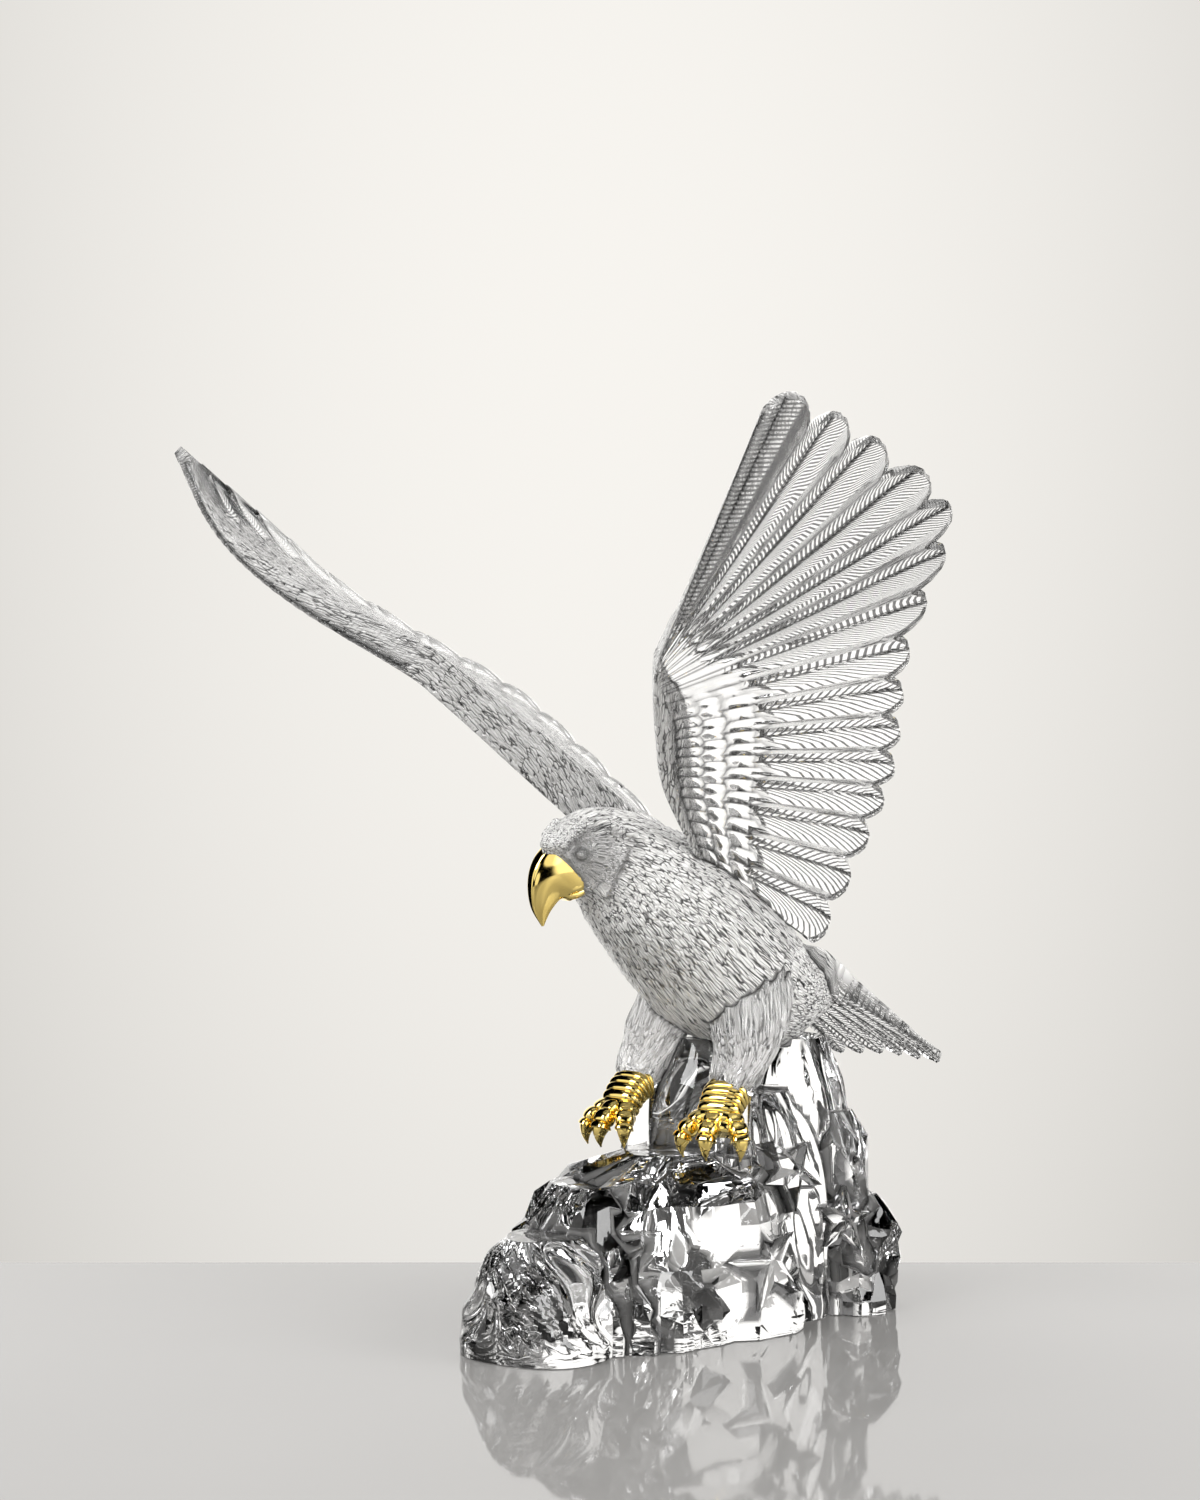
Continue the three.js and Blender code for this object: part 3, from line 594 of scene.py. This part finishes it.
def star(row):
    """Ten-cornered outline drawn inwards to a peak in front and carried straight back into the rock."""
    side, forward, height, radius, turn, facing, up = row
    facing, up = np.radians(facing), np.radians(up)
    out = np.array([np.cos(facing), -np.sin(facing), np.tan(up)])
    out /= np.linalg.norm(out)
    across = np.cross([0, 0, 1.0], out)
    across /= np.linalg.norm(across)
    rise = np.cross(out, across)
    a = np.radians(turn) + turns(2 * STAR_POINTS) + np.pi / 2
    r = radius * np.where(np.arange(2 * STAR_POINTS) % 2, STAR_INNER, 1)
    outline = (r * np.cos(a))[:, None] * across + (r * np.sin(a))[:, None] * rise
    share = np.array([1, 1, STAR_PEAK])[:, None, None]
    depth = np.array([-STAR_ROOT, STAR_EDGE, STAR_EDGE + STAR_RELIEF])[:, None, None]
    rings = np.array([side, SHOULDER[1] - forward, height]) + share * outline + depth * out
    return loft("star", rings, 0 * rings)


crystal_parts += [star(row) for row in STARS]

# Crystal block: the bird and its rock are one, so their forms are fused into a single piece of crystal.
# It is clear lead glass, engraved and satined by wheel on the plumage and polished everywhere else.
# Edges that turn sharply are left crisp; on the cut facets of the rock, so are the blunter ones.
CREASE = np.radians(32)
FACET_CREASE = np.radians(16)
CRYSTAL_IOR = 1.54
POLISH = 0.015
SATIN = 0.09
CLEAR = (0.98, 0.98, 0.98, 1)
# Painted shade: the colour that strokes, barb lines, seams and hollows are darkened to
CUT_PAINTED_SHADE = (0.02, 0.02, 0.021, 1)
# Painted reflection: the black of half of the rock's scoops, standing in for the unlit room
FACET_PAINTED_BLACK = (0.002, 0.002, 0.002, 1)
FROST = (0.98, 0.975, 0.965, 1)
FROST_ROUGH = 0.12
SATIN_FROST = 0.75
VANE_FROST = 0.14
STROKE_DEPTH = 0.0016
STROKE_SQUEEZE = (0.72, 0.72, 0.07)
STROKE_WANDER = 0.12
STROKE_FAINT = 0.25
STROKE_WIDTH = 0.10
BARB_PITCH = 4.2
PLUME_HEIGHT = 0.6
LINE_DEPTH = 0.4
RIPPLES = 28.0
RIPPLE_HEIGHT = 0.4
SCOOPS = 62.0
SCOOP_BEND = 0.022
SCOOP_DEPTH = 1.4


class Tone:
    """A value in a material: arithmetic on it adds Math nodes to the same node tree."""

    def __init__(self, tree, socket=None):
        self.tree = tree
        self.socket = socket

    def node(self, kind, settings=None, values=None, out=0):
        """Add a node of a kind, set its own settings, then give its sockets values or links."""
        made = self.tree.nodes.new(kind)
        for key, value in (settings or {}).items():
            setattr(made, key, value)
        for key, value in (values or {}).items():
            if isinstance(value, Tone):
                self.tree.links.new(value.socket, made.inputs[key])
            else:
                made.inputs[key].default_value = value
        return Tone(self.tree, made.outputs[out] if len(made.outputs) else None)

    def also(self, out):
        """Another output of the node that this value comes from."""
        return Tone(self.tree, self.socket.node.outputs[out])

    def maths(self, operation, a, b=0.0):
        """One Math node on two values."""
        return self.node("ShaderNodeMath", {"operation": operation}, {0: a, 1: b})

    def __add__(self, other):
        return self.maths("ADD", self, other)

    __radd__ = __add__

    def __sub__(self, other):
        return self.maths("SUBTRACT", self, other)

    def __rsub__(self, other):
        return self.maths("SUBTRACT", other, self)

    def __mul__(self, other):
        return self.maths("MULTIPLY", self, other)

    __rmul__ = __mul__

    def __pow__(self, other):
        return self.maths("POWER", self, other)


def new_material(name):
    """Empty material, given back with a tone to build on."""
    material = bpy.data.materials.new(name)
    material.use_nodes = True
    material.node_tree.nodes.clear()
    return material, Tone(material.node_tree)


def mixed(tone, factor, low, high):
    """Colour between two colours by a factor."""
    return tone.node("ShaderNodeMix", {"data_type": "RGBA"}, {0: factor, 6: low, 7: high}, out=2)


def rising(tone, value, low, high):
    """0 below low, 1 above high and smooth between."""
    settings = {"interpolation_type": "SMOOTHSTEP"}
    return tone.node("ShaderNodeMapRange", settings, {0: value, 1: low, 2: high, 3: 0.0, 4: 1.0})


def noise(tone, place, scale, detail, out=0):
    """Soft noise over a place, as a value or, with out=1, as a colour."""
    return tone.node("ShaderNodeTexNoise", values={"Vector": place, "Scale": scale, "Detail": detail}, out=out)


def moved(tone, place, times, shift):
    """A place times a vector, plus another."""
    return tone.node("ShaderNodeVectorMath", {"operation": "MULTIPLY_ADD"}, {0: place, 1: times, 2: shift})


def crystal():
    """Clear lead glass, polished or engraved by the finish of each point.

    Satin plumage is a net of strokes drawn out along the grain and darkened as painted shade, frosted white
    between them.
    Vanes have lines along the barbs, darkened as painted shade, and seams, cuts and hollows get painted shade
    too.
    Facets of the rock are scooped, and half of the scoops are painted black as a painted reflection of the unlit
    room.
    """
    material, tone = new_material("crystal")
    place = tone.node("ShaderNodeTexCoord", out=3)
    grain = tone.node("ShaderNodeAttribute", {"attribute_name": "grain"}, out=1)
    finish = tone.node("ShaderNodeAttribute", {"attribute_name": "finish"}, out=1)
    scoop = finish.also(3)
    satin = tone.node("ShaderNodeSeparateXYZ", values={0: finish})
    vane, deep = satin.also(1), satin.also(2)
    barb = tone.node("ShaderNodeSeparateXYZ", values={0: grain}, out=2)

    drawn = moved(tone, grain, STROKE_SQUEEZE, noise(tone, grain, STROKE_WANDER, 1.0, out=1))
    net = tone.node("ShaderNodeTexVoronoi", {"feature": "DISTANCE_TO_EDGE"}, {"Vector": drawn, "Scale": 1.0})
    bold = rising(tone, noise(tone, drawn, 0.9, 0.0), 0.35, 0.6)
    width = STROKE_WIDTH + STROKE_WIDTH * bold
    stroke = (STROKE_FAINT + (1 - STROKE_FAINT) * bold) * (1 - rising(tone, net, 0.02, width))
    swing = tone.maths("COSINE", barb * (2 * np.pi / BARB_PITCH))
    line = rising(tone, swing + vane - 1, 0.1, 0.5)
    # Painted shade: engraved strokes, barb lines and the painted shade share darken the glass.
    cut = tone.maths("MAXIMUM", tone.maths("MAXIMUM", satin * stroke, deep ** 2.0), line)

    ripple = noise(tone, place, RIPPLES, 1.0)
    bent = moved(tone, ripple.also(1), (SCOOP_BEND,) * 3, place)
    chip = tone.node("ShaderNodeTexVoronoi", values={"Vector": bent, "Scale": SCOOPS, "Randomness": 1.0})
    # Painted reflection: half of the scoops are painted black, standing in for the unlit room.
    painted_black = scoop * rising(tone, tone.node("ShaderNodeSeparateXYZ", values={0: chip.also(1)}), 0.5, 0.54)
    swell = satin * rising(tone, net, 0.0, 0.3)
    height = RIPPLE_HEIGHT * ripple + PLUME_HEIGHT * swell - LINE_DEPTH * line
    height = height + scoop * SCOOP_DEPTH * (chip * chip)
    dent = tone.node("ShaderNodeBump", values={"Strength": 0.8, "Distance": STROKE_DEPTH, "Height": height})

    glass = tone.node("ShaderNodeBsdfPrincipled", values={
        "Base Color": mixed(tone, painted_black, mixed(tone, cut, CLEAR, CUT_PAINTED_SHADE), FACET_PAINTED_BLACK),
        "Roughness": POLISH + SATIN * satin, "IOR": CRYSTAL_IOR, "Transmission Weight": 1.0, "Normal": dent})
    frost = tone.node("ShaderNodeBsdfPrincipled", values={
        "Base Color": FROST, "Roughness": FROST_ROUGH, "Normal": dent})
    # Where shade is painted, the white frost is taken away too, so the painted shade shows.
    frosted = (1 - deep) * (SATIN_FROST * (satin * (1 - stroke)) + VANE_FROST * vane)
    tone.node("ShaderNodeOutputMaterial", values={
        "Surface": tone.node("ShaderNodeMixShader", values={0: frosted, 1: glass, 2: frost})})
    return material


def combined(operation, piece, others):
    """Union of closed objects, or the first less the others, made on the first; the others are taken away."""
    for other in others:
        cut = piece.modifiers.new("cut", "BOOLEAN")
        cut.operation, cut.solver, cut.object = operation, "MANIFOLD", other
    mesh = bpy.data.meshes.new_from_object(piece.evaluated_get(bpy.context.evaluated_depsgraph_get()))
    piece.modifiers.clear()
    piece.data = mesh
    for other in others:
        bpy.data.objects.remove(other)
    return piece


def creased(mesh, angle):
    """Mark the edges that turn by more than an angle, and give back which they are."""
    mesh.set_sharp_from_angle(angle=angle)
    sharp = np.zeros(len(mesh.edges), bool)
    mesh.attributes["sharp_edge"].data.foreach_get("value", sharp)
    return sharp


def dressed(piece, material):
    """Give a piece its material, and crease its sharp edges, on the facets of the rock also the blunt ones."""
    mesh = piece.data
    mesh.materials.clear()
    mesh.materials.append(material)
    mesh.shade_smooth()
    ends = np.zeros(2 * len(mesh.edges), np.int32)
    mesh.edges.foreach_get("vertices", ends)
    finish = np.zeros(4 * len(mesh.vertices), np.float32)
    mesh.attributes["finish"].data.foreach_get("color", finish)
    faceted = (finish[3::4] > 0.02)[ends.reshape(-1, 2)].all(1)
    blunt = creased(mesh, FACET_CREASE)
    sharp = creased(mesh, CREASE) | (blunt & faceted)
    mesh.attributes["sharp_edge"].data.foreach_set("value", sharp)


eagle = combined("UNION", crystal_parts[0], crystal_parts[1:])
eagle.name = "crystal_eagle"
dressed(eagle, crystal())
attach(eagle, "root")
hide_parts("crystal")

# Beak: gilt metal, hollowed at the back to sit against the crystal face.
# The ridge of the bill runs forward and down into a hook; the cutting edge has one notch behind it.
BEAK_SECTIONS = [[42, 239, 8, 11, 8], [52, 237.5, 9.5, 15, 12], [60, 235, 9, 15, 25],
                 [67, 229, 6.5, 10.5, 50], [69.5, 218, 3.6, 5.5, 80], [68.5, 208.5, 0.4, 0.6, 95]]
BEAK_PLACE = np.array([-10.0, -62.0, 0.0])
HEAD_TURN = np.radians(18)
BEAK_RINGS = 64
BEAK_SIDES = 56
BEAK_SQUARE = 0.34
RIDGE_NARROW = 0.3
MOUTH_HEIGHT = -0.78
MOUTH_WIDTH = 0.07
MOUTH_DEPTH = 0.12
NOTCH_PLACE = 2.6
NOTCH_WIDTH = 0.35
NOTCH_DEPTH = 0.14
FIT_GAP = 0.3
GOLD = (0.95, 0.76, 0.28, 1)
DEEP_GOLD = (0.88, 0.64, 0.18, 1)
GOLD_PATCHES = 60.0
GOLD_GRIT = 900.0
GOLD_DENT = 0.0004


def surface(tone, values):
    """Principled surface with these values and links, joined to the material's output."""
    shade = tone.node("ShaderNodeBsdfPrincipled", values=values)
    tone.node("ShaderNodeOutputMaterial", values={"Surface": shade})


def gilding():
    """Polished gold plate, a little deeper in colour and less bright in patches."""
    material, tone = new_material("gilding")
    place = tone.node("ShaderNodeTexCoord", out=3)
    cloud, grit = noise(tone, place, GOLD_PATCHES, 3.0), noise(tone, place, GOLD_GRIT, 2.0)
    dent = tone.node("ShaderNodeBump", values={"Strength": 0.12, "Distance": GOLD_DENT, "Height": cloud})
    surface(tone, {"Base Color": mixed(tone, cloud, DEEP_GOLD, GOLD), "Metallic": 1.0,
                   "Roughness": 0.06 + 0.10 * (cloud * grit), "Normal": dent})
    return material


def rounded(part, square):
    """A sine or cosine drawn towards its ends by a power, which squares up a round outline."""
    return np.sign(part) * np.abs(part) ** square


def beak():
    """Rings turned further down along the bill, each narrow at the ridge and full at the side."""
    t = np.linspace(0, len(BEAK_SECTIONS) - 1, BEAK_RINGS)
    forward, z, half_width, half_height, droop = through(BEAK_SECTIONS, t).T
    droop = np.radians(droop)
    across = np.array([np.cos(HEAD_TURN), -np.sin(HEAD_TURN), 0])
    ahead = np.array([-np.sin(HEAD_TURN), -np.cos(HEAD_TURN), 0])
    centre = BEAK_PLACE + (forward - BEAK_SECTIONS[1][0])[:, None] * ahead
    centre[:, 2] = z
    rise = np.cos(droop)[:, None] * np.array([0, 0, 1.0]) + np.sin(droop)[:, None] * ahead
    a = turns(BEAK_SIDES)
    tall = np.sin(a)
    wide = rounded(np.cos(a), BEAK_SQUARE) * (1 - RIDGE_NARROW * np.clip(tall, 0, 1) ** 1.5)
    mouth = bell(tall - MOUTH_HEIGHT, MOUTH_WIDTH) * ease(t, 3.2, 2.2)[:, None]
    notch = 1 + NOTCH_DEPTH * np.clip(-tall, 0, 1) ** 2 * bell(t - NOTCH_PLACE, NOTCH_WIDTH)[:, None]
    side = half_width[:, None] * wide * (1 - MOUTH_DEPTH * mouth)
    height = half_height[:, None] * tall * notch
    rings = centre[:, None] + side[..., None] * across + height[..., None] * rise[:, None]
    return loft("gilt_beak", rings, 0 * rings)


gold = gilding()
bill = combined("DIFFERENCE", beak(), [trunk(FIT_GAP)])
dressed(bill, gold)
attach(bill, "root")
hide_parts("beak")

# Feet: two gilt castings clasping the legs where they meet the rock.
# A plated instep parts into three toes of square scutes, each ending in a curved claw.
ANKLE = np.array([32.0, 7.0, 115.0])
FOOT_YAW = {1: 16.0, -1: 0.0}
FOOT_RINGS = 71
FOOT_SIDES = 40
INSTEP_RUN = (-6.0, 18.0)  # start, and change along the instep
INSTEP_FALL = (5.0, 18.0)
INSTEP_WIDE = (11.5, 1.0)
INSTEP_TALL = (8.5, 2.5)
INSTEP_SQUARE = 0.75
INSTEP_PLATES = 7
PLATE_STEP = (0.93, 0.16)  # least, and added in the middle of a plate
TOE_FAN = {1: 44.0, -1: 34.0}
TOE_START = 3.0
TOE_REACH = 20.64
TOE_CURL = 1.9
TOE_DROP = 22.0
TOE_RADIUS = 4.5
TOE_SQUARE = 0.6
TOE_SCUTES = 3.5
SCUTE_STEP = (0.74, 0.34)
CLAW_START = 0.70
CLAW_ROOT = 0.85
CLAW_POINT = 0.08


def tube(name, path, wide, tall, square):
    """Rings across a path; square is the power of the rounded-square outline, 1 for an ellipse."""
    ahead = np.gradient(path, axis=0)
    ahead /= np.linalg.norm(ahead, axis=1, keepdims=True)
    across = np.cross(ahead, [0, 0, 1.0])
    across /= np.linalg.norm(across, axis=1, keepdims=True)
    rise = np.cross(across, ahead)
    a = turns(FOOT_SIDES)
    x, y = wide[:, None] * rounded(np.cos(a), square), tall[:, None] * rounded(np.sin(a), square)
    rings = path[:, None] + x[..., None] * across[:, None] + y[..., None] * rise[:, None]
    return loft(name, rings, 0 * rings)


def foot(side):
    """Instep stepped by plates, with three toes swung over the rock and drawn out into claws."""
    ankle = ANKLE * [side, 1, 1]
    t = np.linspace(0, 1, FOOT_RINGS)
    aims = np.radians(FOOT_YAW[side] + TOE_FAN[side] * np.array([0, -1, 0, 1]))
    heading = np.stack([np.sin(aims), -np.cos(aims), 0 * aims], -1)
    up = np.array([0, 0, 1.0])
    path = (ankle + (INSTEP_RUN[0] + INSTEP_RUN[1] * t)[:, None] * heading[0]
            + (INSTEP_FALL[0] - INSTEP_FALL[1] * t ** 2)[:, None] * up)
    arch = np.sqrt(1 - (2 * (t * INSTEP_PLATES * 0.999 % 1) - 1) ** 2)
    step = PLATE_STEP[0] + PLATE_STEP[1] * arch
    pieces = [tube("instep", path, (INSTEP_WIDE[0] - INSTEP_WIDE[1] * t) * step,
                   (INSTEP_TALL[0] - INSTEP_TALL[1] * t) * step, INSTEP_SQUARE)]
    for aim in heading[1:]:
        path = (ankle + TOE_START * aim - TOE_START * up + (TOE_REACH * np.sin(TOE_CURL * t))[:, None] * aim
                - (TOE_DROP * t ** 1.5)[:, None] * up)
        scute = np.abs(np.sin(np.pi * t / CLAW_START * TOE_SCUTES)) ** 0.35
        joint = TOE_RADIUS * (SCUTE_STEP[0] + SCUTE_STEP[1] * scute)
        claw = TOE_RADIUS * CLAW_ROOT * np.clip((1 - t) / (1 - CLAW_START), CLAW_POINT, 1) ** 0.8
        radius = np.where(t < CLAW_START, joint, claw)
        pieces.append(tube("toe", path, radius, radius, TOE_SQUARE))
    return combined("UNION", pieces[0], pieces[1:])


for side, name in ((1, "talon_left"), (-1, "talon_right")):
    clasp = combined("DIFFERENCE", foot(side), [leg(side, FIT_GAP)])
    clasp.name = "gilt_foot_" + name[6:]
    dressed(clasp, gold)
    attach(clasp, "root")
    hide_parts(name)

# Studio: a pale glossy table that ends a little way behind the rock, a bright backdrop beyond it
# and large soft lights, with dark to the sides so that the cut glass has black lines to show.
# Sizes here are metres. A soft box is its way from the bird, its size and its power.
VIEW_TURN = np.radians(42)
CAMERA_TILT = np.radians(0.9)
CAMERA_PLACE = np.array([0.9829, -1.1435, 0.319])
CAMERA_LENS = 70.58
CAMERA_SENSOR = 36.0
TABLE_SIDES = 2.4
TABLE_FRONT = 1.6
TABLE_BACK = 0.17
TABLE_TOP = -0.0005
TABLE_DEPTH = 0.03
LACQUER = ((0.22, 0.217, 0.212, 1), (0.25, 0.247, 0.242, 1))
LACQUER_IOR = 1.30
BACKDROP_WHITE = (1.0, 0.975, 0.93, 1)
BACKDROP_HEIGHT = 0.137
BACKDROP_GLOW = 0.93
BACKDROP_FADE = (3.9, 1.1)
BACKDROP_LEAST = 0.6
LIGHT_WHITE = (1.0, 0.985, 0.96, 1)
LIGHT_POWER = 1.3
MATT_LIGHT = 0.55
CEILING_LIGHT = 0.1
SOFT_BOXES = [[0.8, 0.6, 0.15, 0.18, 1.25], [-0.93, 0.3, 0.2, 0.09, 0.9], [-0.45, 0.85, 0.25, 0.04, 0.9],
              [0.3, 0.9, 0.45, 0.05, 0.9], [-0.1, 1.0, -0.05, 0.015, 0.9], [0.95, -0.1, 0.5, 0.04, 0.9]]
LAMPS = [["key", -1.2, 0.9, 1.3, 0.9, 27], ["fill", 1.4, 0.7, 0.9, 0.8, 16], ["top", 0, 0, 1.8, 1.2, 8]]
LAMP_TARGET = Vector((0, 0, 0.2))
BOUNCES = 9
right = np.array([np.cos(VIEW_TURN), np.sin(VIEW_TURN), 0])
level = np.array([np.sin(VIEW_TURN), -np.cos(VIEW_TURN), 0])
back = level * np.cos(CAMERA_TILT) + np.array([0, 0, np.sin(CAMERA_TILT)])
up = np.cross(back, right)
scene = bpy.context.scene


def plate(name, across, near, far, top, depth):
    """Flat slab square to the view, from near to far distances towards the camera."""
    corners = [[-across, far], [across, far], [across, near], [-across, near]]
    flat = np.array([x * right + y * level for x, y in corners])
    points = np.concatenate([flat + [0, 0, top], flat + [0, 0, top - depth]]) * 1000
    faces = [[3, 2, 1, 0], [4, 5, 6, 7], [0, 1, 5, 4], [1, 2, 6, 5], [2, 3, 7, 6], [3, 0, 4, 7]]
    return make_piece(name, points, faces, 0 * points, finish_of(np.zeros(len(points)), 0.0, 0.0))


table = plate("table", TABLE_SIDES, TABLE_FRONT, -TABLE_BACK, TABLE_TOP, TABLE_DEPTH)
lacquer, tone = new_material("pale lacquer")
cloud = noise(tone, tone.node("ShaderNodeTexCoord", out=3), 3.0, 2.0)
surface(tone, {"Base Color": mixed(tone, cloud, *LACQUER), "Roughness": 0.03 + 0.02 * cloud, "IOR": LACQUER_IOR})
table.data.materials.append(lacquer)

world = bpy.data.worlds.new("studio")
scene.world = world
world.use_nodes = True
world.node_tree.nodes.clear()
sky = Tone(world.node_tree)
way = sky.node("ShaderNodeTexCoord", out=0)


def towards(direction):
    """How nearly a ray runs in a direction, from -1 to 1."""
    return sky.node("ShaderNodeVectorMath", {"operation": "DOT_PRODUCT"}, {0: way, 1: tuple(direction)}, out=1)


climb, swing = towards([0, 0, 1]), towards(right)
lift = climb - BACKDROP_HEIGHT
glow = BACKDROP_GLOW - BACKDROP_FADE[0] * swing * swing - BACKDROP_FADE[1] * lift * lift
seen = mixed(sky, sky.maths("MAXIMUM", glow, BACKDROP_LEAST), (0, 0, 0, 1), BACKDROP_WHITE)
camera_ray = sky.node("ShaderNodeLightPath", out=0)
matt_ray, mirror_ray = camera_ray.also(2), camera_ray.also(5)
bright = rising(sky, towards(-level), 0.82, 0.86) + CEILING_LIGHT * rising(sky, climb, 0.80, 0.86)
for sideways, ahead_of, height, size, power in SOFT_BOXES:
    box = sideways * right + ahead_of * level + [0, 0, height]
    box_light = rising(sky, towards(box / np.linalg.norm(box)), 1 - size, 1 - 0.6 * size)
    bright = bright + power * mirror_ray * box_light
bright = bright + MATT_LIGHT * matt_ray
colour = mixed(sky, camera_ray, LIGHT_WHITE, seen)
strength = camera_ray + (1 - camera_ray) * LIGHT_POWER * bright
backdrop = sky.node("ShaderNodeBackground", values={"Color": colour, "Strength": strength})
sky.node("ShaderNodeOutputWorld", values={"Surface": backdrop})

for name, sideways, ahead_of, height, size, power in LAMPS:
    light = bpy.data.lights.new(name, "AREA")
    light.shape, light.size, light.energy = "SQUARE", size, power
    lamp = bpy.data.objects.new(name, light)
    lamp.location = ahead_of * level + sideways * right + [0, 0, height]
    lamp.rotation_euler = (LAMP_TARGET - lamp.location).to_track_quat("-Z", "Y").to_euler()
    scene.collection.objects.link(lamp)

lens = bpy.data.cameras.new("camera")
lens.lens, lens.sensor_width, lens.sensor_fit = CAMERA_LENS, CAMERA_SENSOR, "AUTO"
camera = bpy.data.objects.new("camera", lens)
pose = np.eye(4)
pose[:3] = np.column_stack([right, up, back, CAMERA_PLACE])
camera.matrix_world = pose.T.tolist()
scene.collection.objects.link(camera)
scene.camera = camera
scene.view_settings.view_transform = "Standard"
scene.cycles.max_bounces = BOUNCES
scene.cycles.transmission_bounces = BOUNCES
